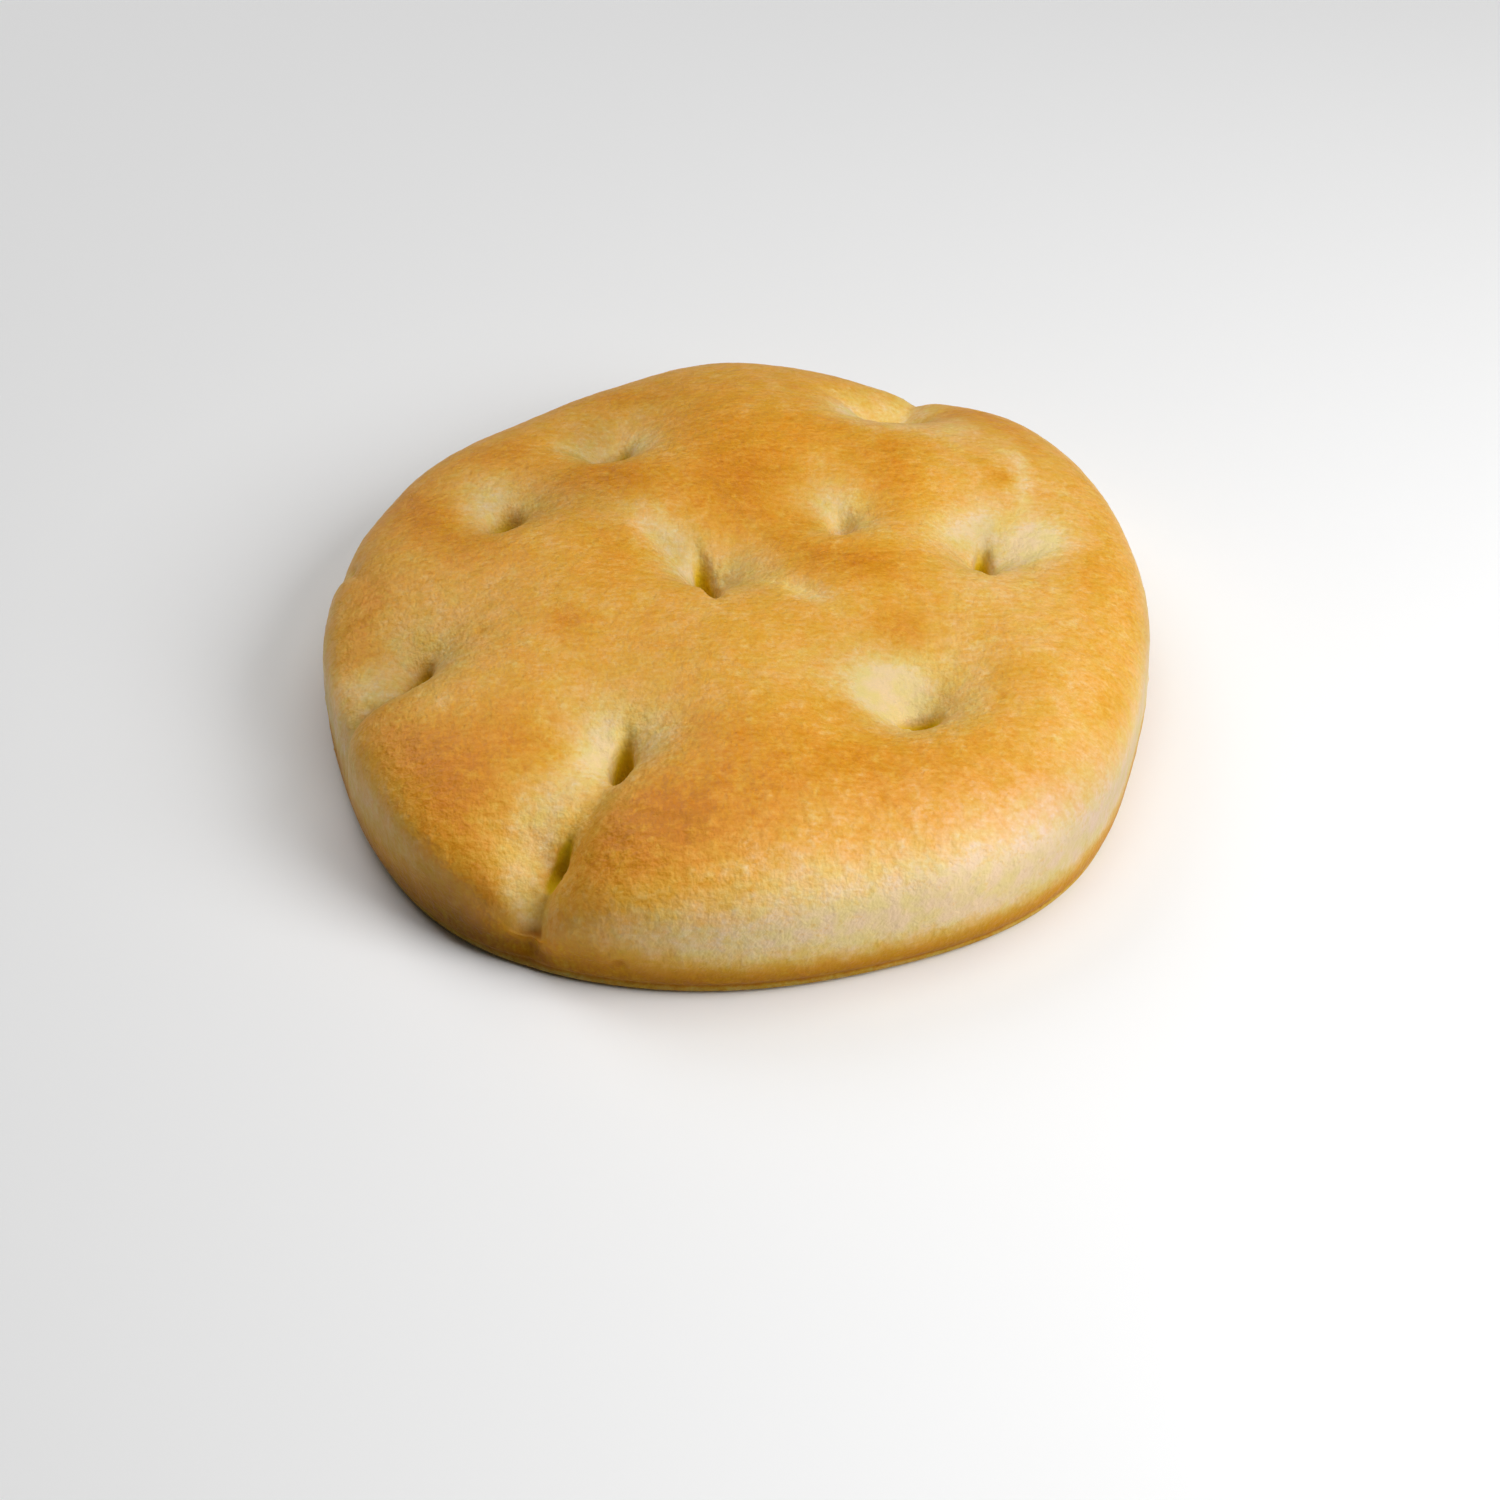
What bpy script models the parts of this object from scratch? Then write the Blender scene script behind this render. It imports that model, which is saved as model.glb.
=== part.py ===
"""A round focaccia: one loaf of soft flat bread, with the marks of the fingers that were pushed into its dough.

Metres, +Z up. The origin is the middle of the flat base. The front, with the longest crease, faces -Y.
The crust is worked out as a flat sheet of skin, which is wrapped over the loaf and drawn down at each finger mark.
A place on the skin is as far from the sheet's middle as it is from the crown along the loaf, at the same bearing.
"""

import math
from typing import NamedTuple

import bmesh
import bpy
import numpy as np
from mathutils import Vector, noise

MM = 0.001

# Driving dimensions of the loaf.
RADIUS = 75.4 * MM  # mean radius of the outline, where the side bulges most
HEIGHT = 31.7 * MM  # from the base to the crown, before the fingers go in
WIDEST = 15 * MM  # height of the widest part of the side
FOOT_SHARE = 0.95  # radius of the foot, as a share of the widest radius
SHOULDER = 2.7  # exponent of the section above the widest part: 2 is an ellipse, more is squarer
SIDE = 2.6  # the same below the widest part

# The thin foot that spreads on the tray, under a fine groove.
GROOVE_HEIGHT = 2.3 * MM
GROOVE_DEPTH = 0.5 * MM
GROOVE_WIDTH = 0.8 * MM

# The outline's slow waves round the loaf: how many, how far out, and the bearing of one crest in degrees.
OUTLINE_WAVES = (
    (2, 2.6 * MM, 65),
    (3, 0.8 * MM, -51),
    (4, 1.0 * MM, -36),
    (5, 0.9 * MM, 25),
    (6, 0.25 * MM, -25),
    (7, 0.3 * MM, -7),
    (8, 0.45 * MM, 3),
)

# The crust's soft unevenness, which dies away to the flat foot.
LUMP_SIZE = 21 * MM
LUMP_HEIGHT = 0.7 * MM
FOOT_FADE = 6 * MM

# How the dough gives way round a finger mark.
SAG_REACH = 18 * MM
SAG_SHARE = 0.12  # of the mark's depth, in the wide dip round it
LEAN_SHARE = 0.5  # how much wider than the mean a mark is on its gentle side
CREASE_TAPER = 0.5  # how much narrower a crease is at its end
TUFT_BLEND = 4  # exponent that joins a mark's creases into one form
CREASE_ROUNDING = 0.5 * MM
HOLE_SQUARENESS = 3  # exponent of a hole's walls

# Where the long crease runs over the shoulder, the loaf slumps by a share of its height.
SLUMP_AT = (-37 * MM, -72.5 * MM)
SLUMP_REACH = 6.5 * MM
SLUMP_SHARE = 0.62
SLUMP_ROUNDING = 2 * MM

# The sheet of skin: a square patch on the crown, and rings that turn it into a disc.
PATCH_CELLS = 32
PATCH_REACH = 44 * MM
PATCH_FULLNESS = 0.86  # of the patch's half width, so that its corners stay inside the first rings
PATCH_ROUNDNESS = 0.6  # how round the patch's edge already is
ROUND_BY = 0.5  # share of the rings over which the rest turns round
RING_COUNT = 18
RING_CROWDING = 1.35  # more than 1 sets the rings closer together towards the foot
FINE_REACH = 7 * MM  # the sheet is finer this close to a finger hole
FINEST_REACH = 3.6 * MM


class Hole(NamedTuple):
    """The narrow hole at the bottom of a finger mark: half length, half width, depth and bearing."""

    length: float
    width: float
    depth: float
    bearing: float


class Crease(NamedTuple):
    """A crease that runs out of a finger mark and dies away."""

    bearing: float
    reach: float
    share: float  # of the mark's depth


class FingerMark(NamedTuple):
    """A place on the skin where a finger drew the dough down, like the tuft of a cushion."""

    at: tuple
    depth: float
    spread: float  # distance over which the depth falls to a third
    lean: float  # bearing of its gentle side, opposite the steep one
    hole: Hole
    creases: tuple


FINGER_MARKS = {
    "middle": FingerMark(
        at=(-6.2 * MM, 2.6 * MM),
        depth=7.6 * MM,
        spread=6.5 * MM,
        lean=75,
        hole=Hole(6.6 * MM, 1.4 * MM, 8 * MM, 104),
        creases=(Crease(135, 22 * MM, 0.9), Crease(100, 11 * MM, 0.8)),
    ),
    "back_left": FingerMark(
        at=(-43.8 * MM, 20 * MM),
        depth=5.6 * MM,
        spread=7 * MM,
        lean=115,
        hole=Hole(3.4 * MM, 2.5 * MM, 8 * MM, 95),
        creases=(Crease(165, 14 * MM, 0.7), Crease(60, 11 * MM, 0.6)),
    ),
    "back": FingerMark(
        at=(-25.2 * MM, 42.2 * MM),
        depth=6 * MM,
        spread=6.5 * MM,
        lean=100,
        hole=Hole(3.8 * MM, 1.9 * MM, 6 * MM, 50),
        creases=(Crease(168, 18 * MM, 0.9), Crease(50, 9 * MM, 0.6)),
    ),
    "back_right_small": FingerMark(
        at=(17 * MM, 17 * MM),
        depth=4.8 * MM,
        spread=6.5 * MM,
        lean=100,
        hole=Hole(3.5 * MM, 2 * MM, 2 * MM, 95),
        creases=(Crease(145, 12 * MM, 0.7), Crease(65, 9 * MM, 0.6)),
    ),
    "right": FingerMark(
        at=(45.2 * MM, 9.6 * MM),
        depth=6.4 * MM,
        spread=7 * MM,
        lean=90,
        hole=Hole(4.6 * MM, 1.3 * MM, 7 * MM, 97),
        creases=(Crease(160, 15 * MM, 0.7), Crease(95, 13 * MM, 0.75), Crease(17, 20 * MM, 0.6)),
    ),
    "left": FingerMark(
        at=(-57.7 * MM, -20.2 * MM),
        depth=6.6 * MM,
        spread=7 * MM,
        lean=125,
        hole=Hole(3 * MM, 1.6 * MM, 5 * MM, 60),
        creases=(Crease(-142, 30 * MM, 0.9), Crease(65, 12 * MM, 0.6)),
    ),
    "front": FingerMark(
        at=(-19.2 * MM, -41.6 * MM),
        depth=7 * MM,
        spread=7 * MM,
        lean=130,
        hole=Hole(4.5 * MM, 1.4 * MM, 7 * MM, 84),
        creases=(Crease(-112, 26 * MM, 0.7), Crease(80, 14 * MM, 0.8)),
    ),
    "front_edge": FingerMark(
        at=(-30 * MM, -61.3 * MM),
        depth=6.6 * MM,
        spread=6.5 * MM,
        lean=165,
        hole=Hole(4.8 * MM, 1.1 * MM, 3 * MM, 64),
        creases=(Crease(-119, 34 * MM, 1), Crease(65, 16 * MM, 0.7)),
    ),
    "front_right": FingerMark(
        at=(30.4 * MM, -31.4 * MM),
        depth=9 * MM,
        spread=9 * MM,
        lean=115,
        hole=Hole(3.2 * MM, 1.6 * MM, 3.5 * MM, 12),
        creases=(Crease(50, 12 * MM, 0.7), Crease(150, 14 * MM, 0.7)),
    ),
    "back_edge": FingerMark(
        at=(28 * MM, 55.5 * MM),
        depth=7.5 * MM,
        spread=6.5 * MM,
        lean=100,
        hole=Hole(3 * MM, 2 * MM, 0.5 * MM, 60),
        creases=(Crease(155, 18 * MM, 0.9), Crease(66, 28 * MM, 0.95)),
    ),
    "faint": FingerMark(
        at=(11.5 * MM, -4.5 * MM),
        depth=0.5 * MM,
        spread=5 * MM,
        lean=90,
        hole=Hole(5.5 * MM, 2.4 * MM, 0.6 * MM, -38),
        creases=(),
    ),
    "left_fold": FingerMark(
        at=(-74.5 * MM, 12.5 * MM),
        depth=2 * MM,
        spread=3 * MM,
        lean=90,
        hole=Hole(2 * MM, 2 * MM, 0.2 * MM, 0),
        creases=(Crease(-50, 16 * MM, 0.6),),
    ),
}


def section():
    """The crust's section from the middle of the crown down to the base: radius share, height, length along it."""
    turn = np.linspace(0, math.pi / 2, 400)
    sine, cosine = np.sin(turn), np.clip(np.cos(turn), 0, 1)
    crown_share = sine ** (2 / SHOULDER)
    crown_height = WIDEST + (HEIGHT - WIDEST) * cosine ** (2 / SHOULDER)
    side_share = FOOT_SHARE + (1 - FOOT_SHARE) * cosine ** (2 / SIDE)
    side_height = WIDEST * (1 - sine ** (2 / SIDE))
    share = np.concatenate([crown_share, side_share[1:]])
    height = np.concatenate([crown_height, side_height[1:]])
    share -= GROOVE_DEPTH / RADIUS * np.exp(-(((height - GROOVE_HEIGHT) / GROOVE_WIDTH) ** 2))
    length = np.concatenate([[0], np.cumsum(np.hypot(np.diff(share) * RADIUS, np.diff(height)))])
    return share, height, length


SECTION_SHARE, SECTION_HEIGHT, SECTION_LENGTH = section()
SKIN_REACH = SECTION_LENGTH[-1]


def outline(bearing):
    """The loaf's widest radius at each bearing."""
    waves = (out * np.cos(count * (bearing - math.radians(crest))) for count, out, crest in OUTLINE_WAVES)
    return RADIUS + sum(waves)


def smooth_loaf(skin):
    """Where each place on the skin, an (n, 2) array, lies on the loaf before the fingers go in."""
    bearing = np.arctan2(skin[:, 1], skin[:, 0])
    along = np.linalg.norm(skin, axis=1)
    radius = np.interp(along, SECTION_LENGTH, SECTION_SHARE) * outline(bearing)
    height = np.interp(along, SECTION_LENGTH, SECTION_HEIGHT)
    return np.column_stack([radius * np.cos(bearing), radius * np.sin(bearing), height])


def skin_normals(skin, step=0.4 * MM):
    """The smooth loaf's outward normal at each place on the skin."""
    east, north = np.array([step, 0]), np.array([0, step])
    across = smooth_loaf(skin + east) - smooth_loaf(skin - east)
    up = smooth_loaf(skin + north) - smooth_loaf(skin - north)
    normal = np.cross(across, up)
    return normal / np.linalg.norm(normal, axis=1, keepdims=True)


def heading(bearing):
    return np.array([math.cos(math.radians(bearing)), math.sin(math.radians(bearing))])


def softened(away, rounding=CREASE_ROUNDING):
    """The distance of each place, whose point at zero is rounded off."""
    return np.hypot(np.linalg.norm(away, axis=1), rounding) - rounding


def leaning_spread(mark, away):
    """How widely a finger mark spreads in the direction of each place away from it."""
    turned = np.arctan2(away[:, 1], away[:, 0]) - math.radians(mark.lean)
    return mark.spread * (1 + LEAN_SHARE * np.cos(turned))


def pull(mark, away):
    """How far a finger mark and its creases draw the skin down, at each place away from it."""
    strands = [np.exp(-softened(away) / leaning_spread(mark, away))]
    for crease in mark.creases:
        direction = heading(crease.bearing)
        run = np.clip(away @ direction / crease.reach, 0, 1)
        side = away - np.outer(run * crease.reach, direction)
        spread = leaning_spread(mark, side) * (1 - CREASE_TAPER * run)
        strands.append(crease.share * (1 - run) * np.exp(-softened(side) / spread))
    return mark.depth * sum(strand**TUFT_BLEND for strand in strands) ** (1 / TUFT_BLEND)


def hole_share(hole, away):
    """How far down its hole each place is, from 0 on the skin to 1 at the bottom."""
    along = away @ heading(hole.bearing) / hole.length
    across = away @ heading(hole.bearing + 90) / hole.width
    return np.exp(-(np.hypot(along, across) ** HOLE_SQUARENESS))


def mark_depth(mark, skin):
    """How far one finger mark presses the skin in."""
    away = skin - np.array(mark.at)
    sag = SAG_SHARE * np.exp(-(away**2).sum(axis=1) / SAG_REACH**2)
    return pull(mark, away) + mark.depth * sag + mark.hole.depth * hole_share(mark.hole, away)


def slumped(crust, skin):
    """The crust, lower where the long crease runs over the shoulder."""
    away = softened(skin - np.array(SLUMP_AT), SLUMP_ROUNDING)
    loss = SLUMP_SHARE * np.exp(-away / SLUMP_REACH)
    return crust * (1 - np.outer(loss, [0, 0, 1]))


def lumps(places):
    return np.array([noise.noise(Vector(place) / LUMP_SIZE) for place in places]) * LUMP_HEIGHT


def wrap(skin):
    """Where each place on the skin lies on the finished loaf, with the middle of its base at the origin."""
    smooth = smooth_loaf(skin)
    pressed = sum(mark_depth(mark, skin) for mark in FINGER_MARKS.values())
    fade = np.clip(smooth[:, 2] / FOOT_FADE, 0, 1)
    crust = smooth + skin_normals(skin) * ((lumps(smooth) - pressed) * fade)[:, None]
    crust = slumped(crust, skin)
    middle = (crust.min(axis=0) + crust.max(axis=0)) / 2
    return crust - middle * [1, 1, 0]


def rounded(square, reach):
    """Turns points on nested squares, reach out at most, into points on rings that grow from square to round."""
    ring = np.abs(square).max(axis=1, keepdims=True)
    edge = square / np.maximum(ring, 1e-9)
    circle = ring * edge * np.sqrt(1 - edge[:, ::-1] ** 2 / 2)
    rest = np.clip((ring - 1) / (ROUND_BY * (reach - 1)), 0, 1)
    mix = PATCH_ROUNDNESS * np.minimum(ring, 1) ** 2 + (1 - PATCH_ROUNDNESS) * rest
    return square * PATCH_FULLNESS * (1 - mix) + circle * mix


def skin_sheet(patch_cells, ring_count):
    """The flat sheet of skin as a bmesh disc of radius SKIN_REACH."""
    sheet = bmesh.new()
    bmesh.ops.create_grid(sheet, x_segments=patch_cells, y_segments=patch_cells, size=1)
    reach = SKIN_REACH / PATCH_REACH
    steps = 1 - np.linspace(1, 0, ring_count + 1) ** RING_CROWDING
    rings = 1 + (reach - 1) * steps
    for inner, outer in zip(rings, rings[1:]):
        edge = [e for e in sheet.edges if e.is_boundary]
        made = bmesh.ops.extrude_edge_only(sheet, edges=edge)["geom"]
        for vertex in (part for part in made if isinstance(part, bmesh.types.BMVert)):
            vertex.co *= outer / inner
    square = np.array([v.co.xy for v in sheet.verts])
    for vertex, place in zip(sheet.verts, rounded(square, reach) * PATCH_REACH):
        vertex.co = (*place, 0)
    return sheet


def refine(sheet, reach):
    """Halves the sheet's cells within reach of a finger hole."""
    holes = [Vector((*mark.at, 0)) for mark in FINGER_MARKS.values()]
    near = []
    for edge in sheet.edges:
        middle = (edge.verts[0].co + edge.verts[1].co) / 2
        if min((middle - hole).length for hole in holes) < reach:
            near.append(edge)
    bmesh.ops.subdivide_edges(sheet, edges=near, cuts=1, use_grid_fill=True)


def loaf_mesh(patch_cells, ring_count, refine_reaches):
    """The whole loaf as one closed mesh, with a flat base."""
    sheet = skin_sheet(patch_cells, ring_count)
    for reach in refine_reaches:
        refine(sheet, reach)
    skin = np.array([v.co.xy for v in sheet.verts])
    for vertex, place in zip(sheet.verts, wrap(skin)):
        vertex.co = place
    rim = [e for e in sheet.edges if e.is_boundary]
    for vertex in {v for e in rim for v in e.verts}:
        vertex.co.z = 0
    bmesh.ops.contextual_create(sheet, geom=rim)
    bmesh.ops.triangulate(sheet, faces=[f for f in sheet.faces if len(f.verts) > 4])
    bmesh.ops.recalc_face_normals(sheet, faces=sheet.faces)
    mesh = bpy.data.meshes.new("focaccia")
    sheet.to_mesh(mesh)
    sheet.free()
    mesh.shade_smooth()
    return mesh


def crust_material():
    material = bpy.data.materials.new("golden_crust")
    material.use_nodes = True
    shader = material.node_tree.nodes["Principled BSDF"]
    shader.inputs["Base Color"].default_value = (0.66, 0.38, 0.11, 1)
    shader.inputs["Roughness"].default_value = 0.5
    shader.inputs["Metallic"].default_value = 0
    return material


def main():
    for old in list(bpy.data.objects):
        bpy.data.objects.remove(old)
    collection = bpy.data.collections.new("focaccia")
    bpy.context.scene.collection.children.link(collection)
    mesh = loaf_mesh(PATCH_CELLS, RING_COUNT, (FINE_REACH, FINEST_REACH))
    mesh.materials.append(crust_material())
    collection.objects.link(bpy.data.objects.new("focaccia", mesh))


main()
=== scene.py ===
"""The looks of the focaccia: a crust in full relief, brown on top, pale in the finger marks and on the side.

Metres, +Z up. The origin is the middle of the base, and the front faces -Y. Bearings are in degrees.
The loaf has the form of its solid: a flat sheet of skin is wrapped over a smooth loaf and drawn down at each
finger mark. A place on the skin is as far from the sheet's middle as it is from the crown along the loaf, at
the same bearing.
"""

import math
from typing import NamedTuple

import bmesh
import bpy
import numpy as np
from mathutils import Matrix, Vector, noise


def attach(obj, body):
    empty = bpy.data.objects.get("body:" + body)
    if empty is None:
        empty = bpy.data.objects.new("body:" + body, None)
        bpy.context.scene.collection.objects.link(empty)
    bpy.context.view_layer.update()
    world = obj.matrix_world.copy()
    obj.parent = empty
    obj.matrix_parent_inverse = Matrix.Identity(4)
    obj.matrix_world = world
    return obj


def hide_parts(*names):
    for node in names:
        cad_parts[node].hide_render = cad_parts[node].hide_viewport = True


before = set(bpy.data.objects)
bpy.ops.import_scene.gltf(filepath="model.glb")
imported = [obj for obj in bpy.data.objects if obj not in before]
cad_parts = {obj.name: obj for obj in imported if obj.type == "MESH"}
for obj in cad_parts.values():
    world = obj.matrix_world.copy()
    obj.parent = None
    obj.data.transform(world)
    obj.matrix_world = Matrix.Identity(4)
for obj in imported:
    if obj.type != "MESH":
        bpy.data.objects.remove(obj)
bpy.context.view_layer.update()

MM = 0.001

# The loaf's driving sizes.
RADIUS = 75.4 * MM
HEIGHT = 31.7 * MM
WIDEST = 15 * MM
FOOT_SHARE = 0.95
SHOULDER = 2.7
SIDE = 2.6
GROOVE_HEIGHT = 2.3 * MM
GROOVE_DEPTH = 0.5 * MM
GROOVE_WIDTH = 0.8 * MM
OUTLINE_WAVES = (
    (2, 2.6 * MM, 65),
    (3, 0.8 * MM, -51),
    (4, 1.0 * MM, -36),
    (5, 0.9 * MM, 25),
    (6, 0.25 * MM, -25),
    (7, 0.3 * MM, -7),
    (8, 0.45 * MM, 3),
)
LUMP_SIZE = 21 * MM
LUMP_HEIGHT = 0.7 * MM
FOOT_FADE = 6 * MM

# How the dough gives way round a finger mark.
SAG_REACH = 18 * MM
SAG_SHARE = 0.12
LEAN_SHARE = 0.5
CREASE_TAPER = 0.5
TUFT_BLEND = 4
CREASE_ROUNDING = 0.5 * MM
HOLE_SQUARENESS = 3

# Where the long crease runs over the shoulder, the loaf slumps by a share of its height.
SLUMP_AT = (-37 * MM, -72.5 * MM)
SLUMP_REACH = 6.5 * MM
SLUMP_SHARE = 0.62
SLUMP_ROUNDING = 2 * MM

# The sheet of skin has a square of cells in its middle and rings of cells round it. The square's corners are
# rounded, and the rings are round from a share of the way out. Near the holes the cells are halved.
SQUARE_CELLS = 128
SQUARE_REACH = 44 * MM
SQUARE_FULLNESS = 0.86
SQUARE_ROUNDNESS = 0.6
ROUND_BY = 0.5
RING_COUNT = 76
RING_CROWDING = 1.15
UNDERSIDE_RINGS = 8
FINE_REACH = 5.5 * MM
WELD = 0.01 * MM
# How far the skin's patterns are drawn out: fibres down the side, and strands towards a finger mark.
FIBRE_STRETCH = 0.2
STRAIN_RADIUS = 7 * MM
STRAND_STRETCH = 0.25
STRAND_SHIFT = 50 * MM


class Hole(NamedTuple):
    """The narrow hole at the bottom of a finger mark: half length, half width, depth and bearing."""

    length: float
    width: float
    depth: float
    bearing: float


class Crease(NamedTuple):
    """A crease that runs out of a finger mark and dies away."""

    bearing: float
    reach: float
    share: float  # of the mark's depth


class FingerMark(NamedTuple):
    """A place on the skin where a finger drew the dough down, like the tuft of a cushion."""

    at: tuple
    depth: float
    spread: float  # distance over which the depth falls to a third
    lean: float  # bearing of its gentle side, opposite the steep one
    hole: Hole
    creases: tuple


FINGER_MARKS = {
    "middle": FingerMark(
        at=(-6.2 * MM, 2.6 * MM),
        depth=7.6 * MM,
        spread=6.5 * MM,
        lean=75,
        hole=Hole(6.6 * MM, 1.4 * MM, 8 * MM, 104),
        creases=(Crease(135, 22 * MM, 0.9), Crease(100, 11 * MM, 0.8)),
    ),
    "back_left": FingerMark(
        at=(-43.8 * MM, 20 * MM),
        depth=5.6 * MM,
        spread=7 * MM,
        lean=115,
        hole=Hole(3.4 * MM, 2.5 * MM, 8 * MM, 95),
        creases=(Crease(165, 14 * MM, 0.7), Crease(60, 11 * MM, 0.6)),
    ),
    "back": FingerMark(
        at=(-25.2 * MM, 42.2 * MM),
        depth=6 * MM,
        spread=6.5 * MM,
        lean=100,
        hole=Hole(3.8 * MM, 1.9 * MM, 6 * MM, 50),
        creases=(Crease(168, 18 * MM, 0.9), Crease(50, 9 * MM, 0.6)),
    ),
    "back_right_small": FingerMark(
        at=(17 * MM, 17 * MM),
        depth=4.8 * MM,
        spread=6.5 * MM,
        lean=100,
        hole=Hole(3.5 * MM, 2 * MM, 2 * MM, 95),
        creases=(Crease(145, 12 * MM, 0.7), Crease(65, 9 * MM, 0.6)),
    ),
    "right": FingerMark(
        at=(45.2 * MM, 9.6 * MM),
        depth=6.4 * MM,
        spread=7 * MM,
        lean=90,
        hole=Hole(4.6 * MM, 1.3 * MM, 7 * MM, 97),
        creases=(Crease(160, 15 * MM, 0.7), Crease(95, 13 * MM, 0.75), Crease(17, 20 * MM, 0.6)),
    ),
    "left": FingerMark(
        at=(-57.7 * MM, -20.2 * MM),
        depth=6.6 * MM,
        spread=7 * MM,
        lean=125,
        hole=Hole(3 * MM, 1.6 * MM, 5 * MM, 60),
        creases=(Crease(-142, 30 * MM, 0.9), Crease(65, 12 * MM, 0.6)),
    ),
    "front": FingerMark(
        at=(-19.2 * MM, -41.6 * MM),
        depth=7 * MM,
        spread=7 * MM,
        lean=130,
        hole=Hole(4.5 * MM, 1.4 * MM, 7 * MM, 84),
        creases=(Crease(-112, 26 * MM, 0.7), Crease(80, 14 * MM, 0.8)),
    ),
    "front_edge": FingerMark(
        at=(-30 * MM, -61.3 * MM),
        depth=6.6 * MM,
        spread=6.5 * MM,
        lean=165,
        hole=Hole(4.8 * MM, 1.1 * MM, 3 * MM, 64),
        creases=(Crease(-119, 34 * MM, 1), Crease(65, 16 * MM, 0.7)),
    ),
    "front_right": FingerMark(
        at=(30.4 * MM, -31.4 * MM),
        depth=9 * MM,
        spread=9 * MM,
        lean=115,
        hole=Hole(3.2 * MM, 1.6 * MM, 3.5 * MM, 12),
        creases=(Crease(50, 12 * MM, 0.7), Crease(150, 14 * MM, 0.7)),
    ),
    "back_edge": FingerMark(
        at=(28 * MM, 55.5 * MM),
        depth=7.5 * MM,
        spread=6.5 * MM,
        lean=100,
        hole=Hole(3 * MM, 2 * MM, 0.5 * MM, 60),
        creases=(Crease(155, 18 * MM, 0.9), Crease(66, 28 * MM, 0.95)),
    ),
    "faint": FingerMark(
        at=(11.5 * MM, -4.5 * MM),
        depth=0.5 * MM,
        spread=5 * MM,
        lean=90,
        hole=Hole(5.5 * MM, 2.4 * MM, 0.6 * MM, -38),
        creases=(),
    ),
    "left_fold": FingerMark(
        at=(-74.5 * MM, 12.5 * MM),
        depth=2 * MM,
        spread=3 * MM,
        lean=90,
        hole=Hole(2 * MM, 2 * MM, 0.2 * MM, 0),
        creases=(Crease(-50, 16 * MM, 0.6),),
    ),
}


class Patch(NamedTuple):
    """An oval place on the skin, and how much the crust differs in its middle."""

    at: tuple
    length: float  # half length, along its bearing
    width: float  # half width
    bearing: float
    share: float


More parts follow.
